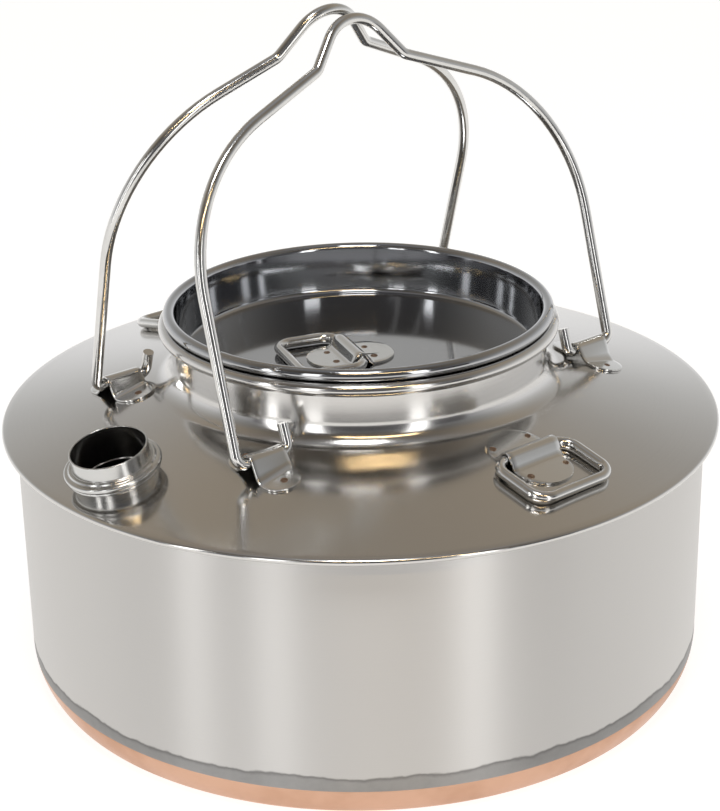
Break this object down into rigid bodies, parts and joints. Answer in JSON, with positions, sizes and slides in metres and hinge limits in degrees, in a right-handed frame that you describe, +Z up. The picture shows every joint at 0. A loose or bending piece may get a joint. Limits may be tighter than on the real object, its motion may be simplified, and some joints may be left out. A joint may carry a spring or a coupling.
{
  "type": "camp kettle",
  "caption": "Wide low camp kettle in polished steel with a copper-clad base, conical shoulder, dished lid, swinging wire bails, folding side rings and an open spout collar.",
  "frame": {"origin": "middle of the flat base, on the surface the kettle stands on", "axes": "+Z up along the pan's axis, the spout collar is towards -X, the bails' pivot lines run along X and the side rings' pivot lines too"},
  "size_m": [0.28, 0.28, 0.2623],
  "materials": {
    "wall_steel": "satin, polished round the wall, with a dull grey band above the copper",
    "copper": "satin copper",
    "shoulder_steel": "mirror-polished stainless steel",
    "lid_steel": "mirror-polished stainless steel",
    "polished_steel": "mirror-polished stainless steel",
    "strap_steel": "polished stainless strip with heat tint at the welds",
    "wire_steel": "polished stainless wire",
    "weld_button": "brown spot weld marks"
  },
  "bodies": {
    "root": {"body_pan": "wall_steel", "copper_base": "copper", "shoulder": "shoulder_steel", "spout_collar": "polished_steel", "spout_base_ring": "polished_steel", "bail_ear_near_left": "strap_steel", "bail_ear_near_right": "strap_steel", "bail_ear_far_left": "strap_steel", "bail_ear_far_right": "strap_steel", "side_clip_near": "strap_steel", "side_clip_far": "strap_steel", "ear_spot_welds": "weld_button", "side_clip_spot_welds": "weld_button"},
    "bail_near": {"bail_near": "wire_steel"},
    "bail_far": {"bail_far": "wire_steel"},
    "side_ring_near": {"side_ring_near": "wire_steel"},
    "side_ring_far": {"side_ring_far": "wire_steel"},
    "lid": {"lid_pan": "lid_steel", "lid_clip": "strap_steel", "lid_clip_spot_welds": "weld_button"},
    "lid_ring": {"lid_ring": "wire_steel"}
  },
  "joints": [
    {"name": "bail_near_swing", "type": "hinge", "parent": "root", "child": "bail_near", "pos_m": [0, -0.0447, 0.11963], "axis": [1, 0, 0], "range_deg": [0, 115]},
    {"name": "bail_far_swing", "type": "hinge", "parent": "root", "child": "bail_far", "pos_m": [0, 0.0525, 0.11963], "axis": [-1, 0, 0], "range_deg": [0, 115]},
    {"name": "side_ring_near_fold", "type": "hinge", "parent": "root", "child": "side_ring_near", "pos_m": [-0.004, -0.0985, 0.11635], "axis": [-1, 0, 0], "range_deg": [0, 150]},
    {"name": "side_ring_far_fold", "type": "hinge", "parent": "root", "child": "side_ring_far", "pos_m": [-0.004, 0.0985, 0.11635], "axis": [1, 0, 0], "range_deg": [0, 150]},
    {"name": "lid_lift", "type": "slide", "parent": "root", "child": "lid", "axis": [0, 0, 1], "range_m": [0, 0.045]},
    {"name": "lid_ring_fold", "type": "hinge", "parent": "lid", "child": "lid_ring", "pos_m": [-0.0065, -0.0025, 0.12894], "axis": [0.3256, 0.9455, 0], "range_deg": [0, 175]}
  ]
}
